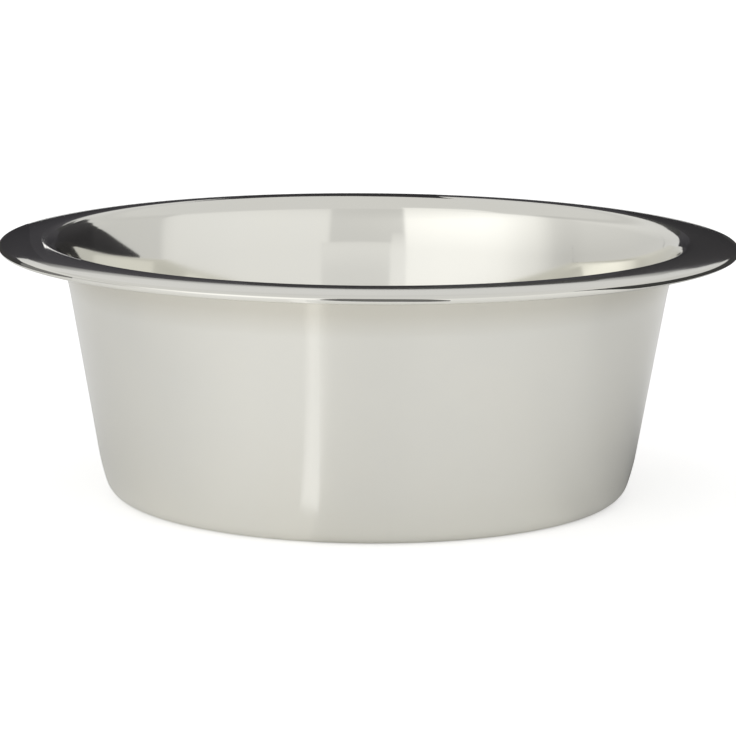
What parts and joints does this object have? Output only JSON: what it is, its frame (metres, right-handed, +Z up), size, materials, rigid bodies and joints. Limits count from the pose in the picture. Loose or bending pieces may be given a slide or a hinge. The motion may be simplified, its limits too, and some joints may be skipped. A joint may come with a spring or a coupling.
{
  "type": "pet bowl",
  "caption": "Round stainless steel pet bowl with a leaning side wall that flares at the top, a flat foot ring and a domed flange with a rolled edge, for food or water.",
  "frame": {"origin": "middle of the foot ring, on the surface that the bowl stands on", "axes": "+Z up along the bowl's axis of symmetry; the bowl is round, so +X and +Y are free, and the picture looks along +Y"},
  "size_m": [0.216, 0.216, 0.076],
  "materials": {
    "stainless_steel": "satin spun finish on the outside of the wall, bright polish on the flange and inside"
  },
  "bodies": {
    "root": {"bowl": "stainless_steel"}
  },
  "joints": []
}
